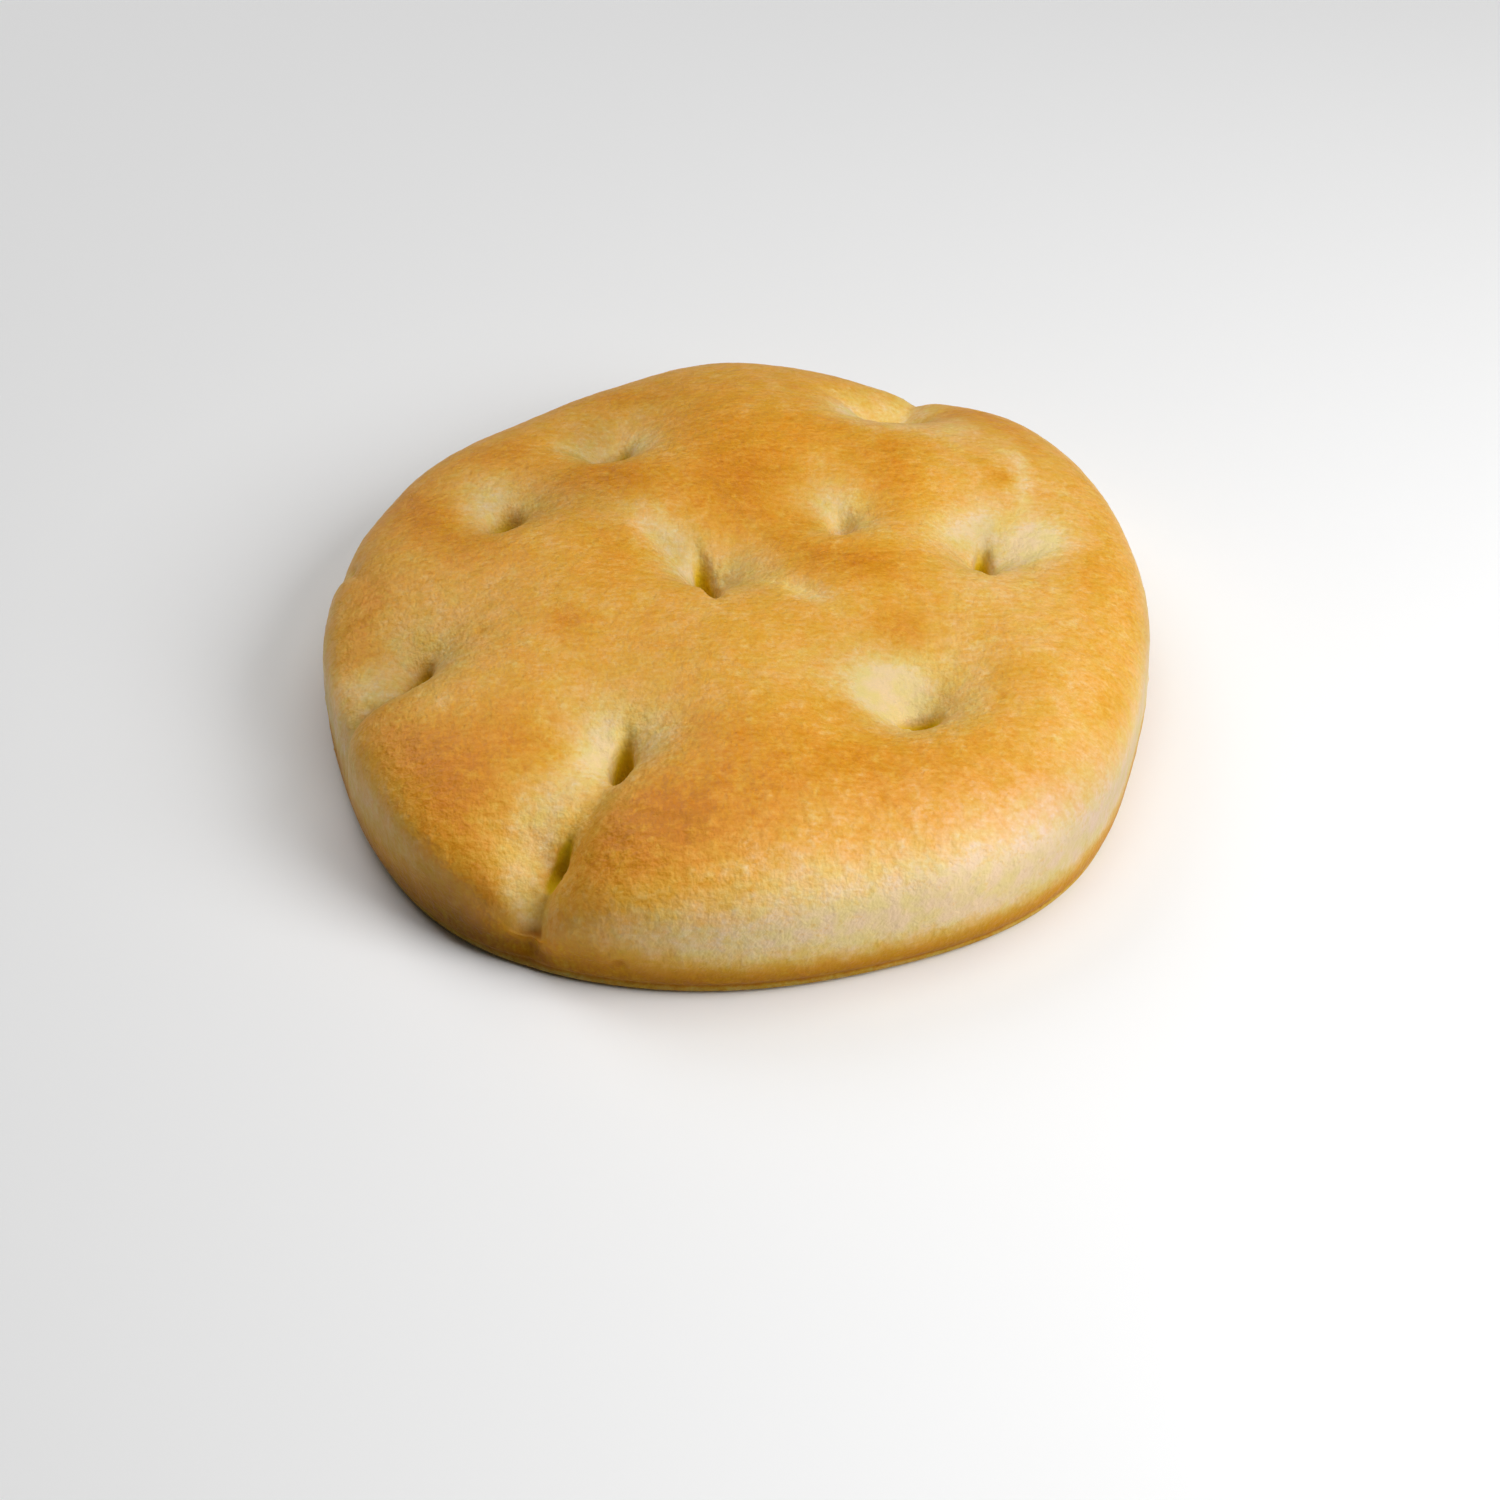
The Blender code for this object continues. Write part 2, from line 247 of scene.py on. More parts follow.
# Browning runs from 0, pale dough, to 1, deep brown. The share of each patch is added to it.
BROWNING = 0.6
BROWN_PATCHES = {
    "front_face": Patch((-14 * MM, -62 * MM), 50 * MM, 22 * MM, 0, 0.06),
    "front": Patch((-13 * MM, -60 * MM), 16 * MM, 9 * MM, 10, 0.42),
    "front_right": Patch((22 * MM, -50 * MM), 25 * MM, 10 * MM, 5, 0.24),
    "front_right_spot": Patch((24 * MM, -57 * MM), 4 * MM, 3 * MM, 0, 0.12),
    "left_front": Patch((-46 * MM, -47 * MM), 14 * MM, 9 * MM, -60, 0.42),
    "left_front_lobe": Patch((-58 * MM, -36 * MM), 9 * MM, 5 * MM, -40, 0.18),
    "left_edge": Patch((-68 * MM, -6 * MM), 11 * MM, 4.5 * MM, 85, 0.22),
    "back_left_rim": Patch((-57 * MM, 21 * MM), 19 * MM, 7 * MM, -55, 0.3),
    "back_left_behind": Patch((-44 * MM, 43 * MM), 8 * MM, 6 * MM, 10, 0.24),
    "between_left_marks": Patch((-25 * MM, 30 * MM), 12 * MM, 6.5 * MM, -15, 0.3),
    "centre_back": Patch((0, 27 * MM), 16 * MM, 9 * MM, 75, 0.34),
    "centre_far": Patch((-8 * MM, 46 * MM), 10 * MM, 8 * MM, 90, 0.14),
    "centre_arc": Patch((9 * MM, 10 * MM), 11 * MM, 5 * MM, -50, 0.28),
    "centre_arc_end": Patch((22 * MM, 3 * MM), 9 * MM, 5.5 * MM, -10, 0.3),
    "left_of_middle": Patch((-22 * MM, 8 * MM), 12 * MM, 5 * MM, 80, 0.16),
    "far_rim": Patch((-20 * MM, 61 * MM), 12 * MM, 4 * MM, -10, 0.16),
    "left_blotch": Patch((-30 * MM, -13 * MM), 3.5 * MM, 3 * MM, 20, 0.26),
    "right_blotch": Patch((28 * MM, -14 * MM), 5.5 * MM, 5 * MM, 20, 0.36),
    "right_back": Patch((25 * MM, 29 * MM), 8 * MM, 6 * MM, -70, 0.3),
    "right_back_spot": Patch((27 * MM, 38 * MM), 4 * MM, 2.5 * MM, 0, 0.16),
    "right_far": Patch((16 * MM, 43 * MM), 8 * MM, 5 * MM, 20, 0.14),
    "right_blister_spot": Patch((46 * MM, 31 * MM), 3.2 * MM, 2.8 * MM, 0, 0.26),
    "right_rim": Patch((48 * MM, 48 * MM), 11 * MM, 4 * MM, -60, 0.18),
    "notch_rim": Patch((39 * MM, 57 * MM), 6 * MM, 4 * MM, -30, 0.2),
    "right_of_front_right": Patch((48 * MM, -25 * MM), 6 * MM, 4 * MM, 30, 0.14),
    "right_low_shoulder": Patch((57 * MM, -52 * MM), 11 * MM, 5 * MM, 45, 0.14),
    "right_edge": Patch((65 * MM, 7 * MM), 10 * MM, 4 * MM, 80, 0.1),
    "right_low_edge": Patch((67 * MM, -34 * MM), 12 * MM, 5 * MM, 62, 0.14),
    "left_front_side": Patch((-48 * MM, -68 * MM), 20 * MM, 9 * MM, -37, 0.24),
    "front_left_shoulder": Patch((-20 * MM, -77 * MM), 11 * MM, 6 * MM, -8, 0.04),
    "left_of_front": Patch((-32 * MM, -40 * MM), 6 * MM, 9 * MM, 50, 0.3),
    "left_of_left": Patch((-67 * MM, -14 * MM), 5 * MM, 4 * MM, 0, 0.26),
    "small_mark_rim": Patch((24 * MM, 19 * MM), 5 * MM, 3.5 * MM, 0, 0.26),
    "small_mark_near": Patch((11.5 * MM, 17.5 * MM), 4 * MM, 3 * MM, 0, 0.24),
    "near_front_right": Patch((18 * MM, -33 * MM), 5 * MM, 4 * MM, 0, 0.27),
    "near_front": Patch((-3 * MM, -41 * MM), 9 * MM, 5 * MM, 0, 0.14),
    "crease_side": Patch((-41 * MM, -68 * MM), 7 * MM, 3 * MM, -66, 0.24),
    "crease_foot": Patch((-36 * MM, -81 * MM), 16 * MM, 9 * MM, -25, 0.35),
}
PALE_PATCHES = {
    "middle_wall": Patch((-16 * MM, 15 * MM), 9 * MM, 4.5 * MM, -35, -0.42),
    "back_left_wall": Patch((-48 * MM, 26 * MM), 7 * MM, 4.5 * MM, 75, -0.34),
    "back_wall": Patch((-31 * MM, 44 * MM), 7 * MM, 4 * MM, -5, -0.2),
    "small_wall": Patch((15.5 * MM, 22 * MM), 5 * MM, 4 * MM, 90, -0.3),
    "right_wall": Patch((39 * MM, 17 * MM), 7 * MM, 4.5 * MM, 30, -0.32),
    "right_bay": Patch((55 * MM, 15 * MM), 7 * MM, 5.5 * MM, 20, -0.5),
    "right_near": Patch((43 * MM, -1 * MM), 8 * MM, 6 * MM, 0, -0.12),
    "right_fold": Patch((50 * MM, 31 * MM), 10 * MM, 1.8 * MM, 100, -0.3),
    "right_fold_far": Patch((38 * MM, 43 * MM), 8 * MM, 4 * MM, 80, -0.16),
    "left_wall": Patch((-68 * MM, -19 * MM), 10 * MM, 6 * MM, 45, -0.22),
    "left_tan": Patch((-50 * MM, -21 * MM), 9 * MM, 6 * MM, 40, -0.12),
    "left_back_tan": Patch((-48 * MM, -3 * MM), 13 * MM, 6 * MM, 10, -0.08),
    "front_wall": Patch((-24 * MM, -40 * MM), 10 * MM, 4 * MM, 65, -0.28),
    "front_slope": Patch((-33.5 * MM, -57 * MM), 15 * MM, 4.5 * MM, 65, -0.28),
    "front_slope_end": Patch((-38 * MM, -69 * MM), 7 * MM, 3.5 * MM, 75, -0.2),
    "front_right_wall": Patch((25 * MM, -27 * MM), 7 * MM, 6 * MM, 40, -0.8),
    "back_edge_wall": Patch((20 * MM, 54 * MM), 6 * MM, 4 * MM, 80, -0.4),
    "back_edge_near": Patch((27 * MM, 46 * MM), 7 * MM, 3 * MM, 0, -0.15),
    "faint_groove": Patch((11 * MM, -4.5 * MM), 7 * MM, 2.6 * MM, -42, -0.26),
    "right_broad": Patch((53 * MM, 8 * MM), 12 * MM, 40 * MM, 0, -0.16),
    "front_shoulder": Patch((34 * MM, -54 * MM), 28 * MM, 7 * MM, 10, -0.12),
    # The lee patches lighten the shaded right side of their marks: partly paler dough, partly painted light.
    "middle_lee": Patch((-1 * MM, 5 * MM), 4 * MM, 6 * MM, 60, -0.16),
    "small_lee": Patch((22 * MM, 18 * MM), 4 * MM, 5 * MM, 80, -0.2),
    "small_hollow": Patch((17 * MM, 18 * MM), 3 * MM, 4 * MM, 90, -0.1),
    "back_lee": Patch((-19 * MM, 44 * MM), 4 * MM, 5 * MM, 60, -0.25),
    "right_hollow": Patch((43.5 * MM, 21 * MM), 3.5 * MM, 6 * MM, 0, -0.14),
    "front_lee": Patch((-14 * MM, -39 * MM), 4 * MM, 6 * MM, 0, -0.24),
    "below_middle": Patch((-4 * MM, -8 * MM), 6 * MM, 4 * MM, 60, -0.12),
    "middle_hollow": Patch((-9 * MM, 6 * MM), 4 * MM, 4 * MM, 90, -0.34),
    "front_hollow": Patch((-22 * MM, -41 * MM), 7 * MM, 3.5 * MM, 80, -0.26),
    "front_right_hollow": Patch((25 * MM, -27 * MM), 5 * MM, 4 * MM, 0, -0.15),
    "left_corner": Patch((-60 * MM, -56 * MM), 15 * MM, 7 * MM, -46, -0.18),
    "right_fold_end": Patch((46 * MM, 39 * MM), 6 * MM, 3 * MM, 110, -0.14),
    "back_edge_right": Patch((32 * MM, 45 * MM), 8 * MM, 5 * MM, 0, -0.13),
    "notch_wall": Patch((31 * MM, 62 * MM), 5 * MM, 4 * MM, 0, -0.24),
    "right_shoulder": Patch((57 * MM, -38 * MM), 7 * MM, 5 * MM, 50, -0.13),
    "left_middle": Patch((-53 * MM, -32 * MM), 9 * MM, 5 * MM, 0, -0.1),
    "front_low": Patch((9 * MM, -70 * MM), 8 * MM, 4 * MM, 0, -0.17),
    "left_of_front_right": Patch((8 * MM, -28 * MM), 7 * MM, 5 * MM, 0, -0.09),
}
# The skin stays pale where it is pressed in, and a faint olive painted shade lies over it there.
PRESSED_FROM = 1 * MM
PRESSED_TO = 4.5 * MM
PRESSED_PALENESS = 0.2
PRESSED_SHADE_TINT = (0.98, 0.99, 0.88)
# Painted shade on the walls on the left of some finger marks: how bright they are kept, and how sharply that
# ends.
PAINTED_WALL_SHADES = {
    "middle": 0.84,
    "back_left": 0.85,
    "back": 0.72,
    "back_right_small": 0.85,
    "left": 0.74,
    "front": 0.97,
    "front_right": 0.9,
    "right": 0.88,
}
WALL_EDGE = 1.5 * MM
# Painted shade and light: places whose share is how much of their brightness they lose, and brighter ones,
# with a negative share.
PAINTED_LIGHT_AND_SHADE = {
    "left_of_long_crease": Patch((-41.5 * MM, -69 * MM), 8 * MM, 3 * MM, -66, 0.34),
    "front_left_base": Patch((-53 * MM, -73 * MM), 18 * MM, 7 * MM, -37, 0.42),
    "right_side": Patch((70 * MM, -46 * MM), 36 * MM, 8 * MM, 56, 0.18),
    "right_edge": Patch((79 * MM, -4 * MM), 18 * MM, 4 * MM, 88, 0.18),
    "between_left_marks": Patch((-33 * MM, 24 * MM), 15 * MM, 9 * MM, -20, 0.15),
    "left_back_rim": Patch((-24 * MM, 55 * MM), 14 * MM, 9 * MM, 15, 0.12),
    "back": Patch((8.5 * MM, 40 * MM), 10 * MM, 8 * MM, 0, -0.08),
    "centre": Patch((14 * MM, 9 * MM), 12 * MM, 5 * MM, 15, -0.08),
    "left_of_left": Patch((-62 * MM, -12 * MM), 5 * MM, 5 * MM, 0, -0.07),
    "middle_right": Patch((-1 * MM, 6 * MM), 5 * MM, 4 * MM, 60, 0.16),
    "left_front": Patch((-48 * MM, -46 * MM), 15 * MM, 10 * MM, -50, -0.07),
    "right_of_long_crease": Patch((-24 * MM, -60 * MM), 6 * MM, 8 * MM, -60, -0.1),
    "crease_end": Patch((-36 * MM, -77 * MM), 4 * MM, 5 * MM, 0, -0.32),
    "front_right_lee": Patch((32 * MM, -28 * MM), 4.5 * MM, 3.5 * MM, 60, 0.15),
    "right_groove": Patch((45.5 * MM, 15 * MM), 5 * MM, 2.5 * MM, 90, 0.15),
    "right_low_shoulder": Patch((57 * MM, -50 * MM), 12 * MM, 6 * MM, 45, 0.07),
    "right_back": Patch((32 * MM, 25 * MM), 10 * MM, 10 * MM, 0, -0.07),
    "left_end": Patch((-75 * MM, -22 * MM), 8 * MM, 4 * MM, -75, -0.22),
    "front": Patch((24 * MM, -65 * MM), 45 * MM, 15 * MM, 8, -0.08),
}


class Stretch(NamedTuple):
    """A stretch of the loaf's side: how much it differs in its middle, where that is, and how wide it is."""

    amount: float
    bearing: float
    width: float


# The base edge is darker towards the front, up to a height.
BASE_SHADE = Stretch(0.44, -112, 60)
BASE_SHADE_HEIGHT = 10 * MM
# Where down the skin the side's paleness sets in and is full, in lengths from the crown.
SIDE_FROM = 71 * MM
SIDE_TO = 87 * MM
SIDE_PALENESS = 0.7
# The side is a little darker all round, a painted shade.
PAINTED_SIDE_SHADE = (0.92, 0.92, 0.92)
# At the front right that paleness reaches further up, and at the front left some of it goes.
SIDE_DROP = Stretch(6 * MM, -60, 40)
SIDE_BROWNED = Stretch(0.62, -130, 38)
# The base edge is scorched up to a height, which rises at the foot of the long crease.
# The scorch is full below the first share of that height and gone above the second.
SCORCH_HEIGHT = 7 * MM
SCORCH_RISE = Stretch(4.5 * MM, -128, 24)
SCORCH_FADE = (0.4, 1.65)
SCORCH_BROWNING = 0.9
SCORCH_TINT = (0.93, 1.02, 0.7)
# Under the groove the foot is pale again, and at the front a fine dark line runs along the groove, partly
# browning and partly painted shade in the groove.
FOOT_FROM = GROOVE_HEIGHT - 0.5 * MM
FOOT_TO = GROOVE_HEIGHT + 0.3 * MM
FOOT_PALENESS = 0.45
GROOVE_BROWNING_AND_SHADE = Stretch(0.3, -78, 45)
GROOVE_LINE_HEIGHT = 0.35 * MM
# The underside is evenly browned inside its rim, and lies far outside the scorch.
UNDERSIDE_BROWNING = 0.75
UNSCORCHED = 9.0
UNDERSIDE_RIM = 3 * MM
# Blisters and pale flecks crowd the front, round a place down the skin.
BLISTERED = Stretch(1, -92, 52)
BLISTERED_AT = 66 * MM
BLISTERED_REACH = 22 * MM
# Blister tops are paler: partly paler crust, partly a painted highlight.
BLISTER_PALENESS_AND_HIGHLIGHT = 0.2
FLECK_RANGE = (-0.2, 0.25)
FLECK_PALENESS = 0.14
PORE_BROWNING = 0.18
# A painted sheen on the front right of the crown, which makes its colour whiter and bluer.
PAINTED_SHEEN = Patch((32 * MM, -56 * MM), 36 * MM, 9 * MM, 12, 1)
PAINTED_SHEEN_TINT = (0.99, 0.985, 1.4)

# What the crust's relief is made of, by the names of its tree's inputs.
RELIEF = {
    "Swell Size": 7 * MM,
    "Swell Height": 0.36 * MM,
    "Grain Size": 1.7 * MM,
    "Grain Height": 0.22 * MM,
    "Blister Spacing": 2.2 * MM,
    "Blister Height": 0.24 * MM,
    "Blister Share": 0.85,
    "Fibre Height": 0.22 * MM,
    "Strand Height": 0.3 * MM,
    "Pore Spacing": 14 * MM,
    "Pore Depth": 0.3 * MM,
    "Sink": 0.22 * MM,
}
GRAIN_DETAIL = 3.0
STREAK_SIZE = 1.3 * MM
# Shares of their spacing: the radii of the smallest and the largest blister, and of a pore's bottom and rim.
BLISTER_RADII = (0.22, 0.5)
PORE_RADII = (0.035, 0.1)
# How far in from its rim a blister reaches its full height, as a share of its radius.
BLISTER_TOP = 0.75
# How much of the relief is lost in a hole.
HOLE_CALM = 0.7

# Colours of the crust, from pale dough to deep brown.
CRUST_COLOURS = (
    (0.0, (0.84, 0.64, 0.32)),
    (0.2, (0.83, 0.558, 0.19)),
    (0.4, (0.8, 0.457, 0.098)),
    (0.6, (0.76, 0.368, 0.036)),
    (0.8, (0.7, 0.283, 0.012)),
    (1.0, (0.6, 0.21, 0.005)),
)
# The colour of the deeper finger holes. It sets in and is full at these shares of their depth.
HOLE_COLOUR = (0.7, 0.46, 0.01)
HOLE_EDGE = (0.04, 0.46)
DARK_HOLE_DEPTH = 2 * MM
# Everywhere the crust wavers between two tints.
OLIVE_TINT = (0.97, 0.99, 0.82)
PINK_TINT = (1.03, 0.985, 1.2)
TINT_RANGE = (-0.2, 0.2)

# The crust is smoother where it is browner, and matt on the scorched edge and in the holes.
GLOSS = 0.3
MATT_GLOSS = 0.06
ROUGH_TONES = (0.2, 1.0)
ROUGHNESS = (0.56, 0.4)
BUMP_STRENGTH = 0.8
BUMP_HEIGHT = 0.12 * MM
CRUMB_GLOW = {
    "Subsurface Weight": 0.08,
    "Subsurface Radius": (1.0, 0.65, 0.3),
    "Subsurface Scale": 1.5 * MM,
}


class CrustNoise(NamedTuple):
    """A noise of the crust: its size, detail and roughness, and the field whose places it reads, if any."""

    size: float
    detail: float = 3.0
    roughness: float = 0.6
    field: str = ""


CRUST_NOISES = {
    "fibres": CrustNoise(1.1 * MM, field="fibre"),
    "strands": CrustNoise(1.0 * MM, field="strain"),
    "cloud": CrustNoise(9 * MM),
    "mottle": CrustNoise(3.2 * MM, 5.0, 0.65),
    "speck": CrustNoise(0.8 * MM, 2.0),
    "dust": CrustNoise(0.6 * MM),
    "pebbles": CrustNoise(1.9 * MM, 2.0),
    "flecks": CrustNoise(1.9 * MM, 1.0),
    "tint": CrustNoise(4 * MM, 2.0),
}
WISP_TURN = math.radians(-8)
WISP_SCALE = (1 / (4 * MM), 1 / (0.8 * MM), 1 / (0.8 * MM))
WISP_DETAIL = 2.0
WISP_ROUGHNESS = 0.6

# How much of each noise goes into the browning, the side's paleness, the scorch's edge and its browning,
# the roughness and the fine bumps.
TONE_NOISE = {"cloud": 0.4, "mottle": 0.7, "speck": 0.45, "strands": 0.3, "wisps": 0.35}
SIDE_NOISE = {"fibres": 0.35, "cloud": 0.7, "mottle": 1.1}
SCORCH_EDGE_NOISE = {"fibres": 0.35, "mottle": 1.2, "speck": 0.5}
SCORCH_NOISE = {"mottle": 0.9, "speck": 0.7, "fibres": 0.3}
ROUGH_NOISE = {"speck": 0.4}
BUMP_NOISE = {"dust": 1.0, "speck": 0.8, "fibres": 0.3, "strands": 0.4, "pebbles": 3.5, "mottle": 2.0}


class Lamp(NamedTuple):
    """A square lamp that faces the loaf: where it hangs, its side, and how bright it lights the loaf."""

    bearing: float
    elevation: float
    distance: float
    size: float
    strength: float


LAMPS = {
    "key_lamp": Lamp(-28, 40, 0.56, 0.34, 0.78),
    "top_lamp": Lamp(0, 84, 1.0, 0.8, 0.34),
    "back_lamp": Lamp(130, 45, 1.0, 0.6, 0.28),
}
SKY_STRENGTH = 0.03

FLOOR_SIZE = 6
FLOOR_DROP = 0.05 * MM
FLOOR_COLOUR = (0.92, 0.92, 0.92)
FLOOR_ROUGHNESS = 0.9

CAMERA_AT = (2.36 * MM, -484.93 * MM, 409.4 * MM)
CAMERA_TILT = 49
LENS = 85
SENSOR_WIDTH = 36


# Points on each of the two curves of the loaf's section.
SECTION_POINTS = 400
NORMAL_STEP = 0.4 * MM
SMALLEST = 1e-9


def section():
    """The crust's section from the crown down to the base: radius as a share, height, and length so far."""
    turn = np.linspace(0, math.pi / 2, SECTION_POINTS)
    sine, cosine = np.sin(turn), np.clip(np.cos(turn), 0, 1)
    crown_share = sine ** (2 / SHOULDER)
    crown_height = WIDEST + (HEIGHT - WIDEST) * cosine ** (2 / SHOULDER)
    side_share = FOOT_SHARE + (1 - FOOT_SHARE) * cosine ** (2 / SIDE)
    side_height = WIDEST * (1 - sine ** (2 / SIDE))
    share = np.concatenate([crown_share, side_share[1:]])
    height = np.concatenate([crown_height, side_height[1:]])
    share -= GROOVE_DEPTH / RADIUS * np.exp(-(((height - GROOVE_HEIGHT) / GROOVE_WIDTH) ** 2))
    length = np.concatenate([[0], np.cumsum(np.hypot(np.diff(share) * RADIUS, np.diff(height)))])
    return share, height, length


SECTION_SHARE, SECTION_HEIGHT, SECTION_LENGTH = section()
SKIN_REACH = SECTION_LENGTH[-1]


def outline(bearing):
    """The loaf's widest radius at each bearing."""
    waves = (out * np.cos(count * (bearing - math.radians(crest))) for count, out, crest in OUTLINE_WAVES)
    return RADIUS + sum(waves)


def smooth_loaf(skin):
    """Where each place on the skin, an (n, 2) array, lies on the loaf before the fingers go in."""
    bearing = np.arctan2(skin[:, 1], skin[:, 0])
    along = np.linalg.norm(skin, axis=1)
    radius = np.interp(along, SECTION_LENGTH, SECTION_SHARE) * outline(bearing)
    height = np.interp(along, SECTION_LENGTH, SECTION_HEIGHT)
    return np.column_stack([radius * np.cos(bearing), radius * np.sin(bearing), height])


def skin_normals(skin):
    """The smooth loaf's outward normal at each place on the skin."""
    east, north = np.array([NORMAL_STEP, 0]), np.array([0, NORMAL_STEP])
    across = smooth_loaf(skin + east) - smooth_loaf(skin - east)
    up = smooth_loaf(skin + north) - smooth_loaf(skin - north)
    normal = np.cross(across, up)
    return normal / np.linalg.norm(normal, axis=1, keepdims=True)


def heading(bearing):
    """The flat unit vector of a bearing."""
    return np.array([math.cos(math.radians(bearing)), math.sin(math.radians(bearing))])


def softened(away, rounding=CREASE_ROUNDING):
    """The distance of each place, whose point at zero is rounded off."""
    return np.hypot(np.linalg.norm(away, axis=1), rounding) - rounding


def leaning_spread(mark, away):
    """How widely a finger mark spreads in the direction of each place away from it."""
    turned = np.arctan2(away[:, 1], away[:, 0]) - math.radians(mark.lean)
    return mark.spread * (1 + LEAN_SHARE * np.cos(turned))


def pull(mark, away):
    """How far a finger mark and its creases draw the skin down, at each place away from it."""
    strands = [np.exp(-softened(away) / leaning_spread(mark, away))]
    for crease in mark.creases:
        direction = heading(crease.bearing)
        run = np.clip(away @ direction / crease.reach, 0, 1)
        side = away - np.outer(run * crease.reach, direction)
        width = leaning_spread(mark, side) * (1 - CREASE_TAPER * run)
        strands.append(crease.share * (1 - run) * np.exp(-softened(side) / width))
    return mark.depth * sum(strand**TUFT_BLEND for strand in strands) ** (1 / TUFT_BLEND)


def hole_share(hole, away):
    """How far down its hole each place is, from 0 on the skin to 1 at the bottom."""
    along = away @ heading(hole.bearing) / hole.length
    across = away @ heading(hole.bearing + 90) / hole.width
    return np.exp(-(np.hypot(along, across) ** HOLE_SQUARENESS))


def mark_depth(mark, skin):
    """How far one finger mark presses the skin in."""
    away = skin - np.array(mark.at)
    sag = SAG_SHARE * np.exp(-(away**2).sum(axis=1) / SAG_REACH**2)
    return pull(mark, away) + mark.depth * sag + mark.hole.depth * hole_share(mark.hole, away)


def slumped(crust, skin):
    """The crust, lower where the long crease runs over the shoulder."""
    away = softened(skin - np.array(SLUMP_AT), SLUMP_ROUNDING)
    loss = SLUMP_SHARE * np.exp(-away / SLUMP_REACH)
    return crust * (1 - np.outer(loss, [0, 0, 1]))


def lumps(places):
    """How far the dough's lumps stand out at each place."""
    return np.array([noise.noise(Vector(place) / LUMP_SIZE) for place in places]) * LUMP_HEIGHT


def rounded(square, reach):
    """Turns points on nested squares, the largest reach wide, into rings that go from square to round."""
    ring = np.abs(square).max(axis=1, keepdims=True)
    edge = square / np.maximum(ring, SMALLEST)
    circle = ring * edge * np.sqrt(1 - edge[:, ::-1] ** 2 / 2)
    rest = np.clip((ring - 1) / (ROUND_BY * (reach - 1)), 0, 1)
    mix = SQUARE_ROUNDNESS * np.minimum(ring, 1) ** 2 + (1 - SQUARE_ROUNDNESS) * rest
    return square * SQUARE_FULLNESS * (1 - mix) + circle * mix


def skin_sheet(ring_count):
    """The flat sheet of skin as a bmesh disc: a square of cells with rings round it."""
    sheet = bmesh.new()
    bmesh.ops.create_grid(sheet, x_segments=SQUARE_CELLS, y_segments=SQUARE_CELLS, size=1)
    reach = SKIN_REACH / SQUARE_REACH
    steps = 1 - np.linspace(1, 0, ring_count + 1) ** RING_CROWDING
    rings = 1 + (reach - 1) * steps
    for inner, outer in zip(rings, rings[1:]):
        edge = [e for e in sheet.edges if e.is_boundary]
        made = bmesh.ops.extrude_edge_only(sheet, edges=edge)["geom"]
        for vertex in (part for part in made if isinstance(part, bmesh.types.BMVert)):
            vertex.co *= outer / inner
    square = np.array([v.co.xy for v in sheet.verts])
    for vertex, place in zip(sheet.verts, rounded(square, reach) * SQUARE_REACH):
        vertex.co = (*place, 0)
    return sheet


def refine(sheet, reach):
    """Halves the sheet's cells within reach of a finger hole."""
    holes = np.array([mark.at for mark in FINGER_MARKS.values()])
    edges = list(sheet.edges)
    middles = np.array([(e.verts[0].co.xy + e.verts[1].co.xy) / 2 for e in edges])
    nearest = np.linalg.norm(middles[:, None] - holes[None], axis=2).min(axis=1)
    near = [e for e, distance in zip(edges, nearest) if distance < reach]
    bmesh.ops.subdivide_edges(sheet, edges=near, cuts=1, use_grid_fill=True)


def smoothstep(low, high, value):
    """0 up to low, 1 from high, and a smooth step between them."""
    share = np.clip((value - low) / (high - low), 0, 1)
    return share * share * (3 - 2 * share)


def along_side(stretch, bearing):
    """How much of a stretch's amount there is at each bearing."""
    turned = (np.degrees(bearing) - stretch.bearing + 180) % 360 - 180
    return stretch.amount * np.exp(-((turned / stretch.width) ** 2))


def patch_share(patch, skin):
    """How much of a patch's share there is at each place on the skin."""
    away = skin - np.array(patch.at)
    along = away @ heading(patch.bearing) / patch.length
    across = away @ heading(patch.bearing + 90) / patch.width
    return patch.share * np.exp(-(along**2 + across**2))


def patches(table, skin):
    """The sum of a table's patches at each place on the skin."""
    return sum(patch_share(patch, skin) for patch in table.values())


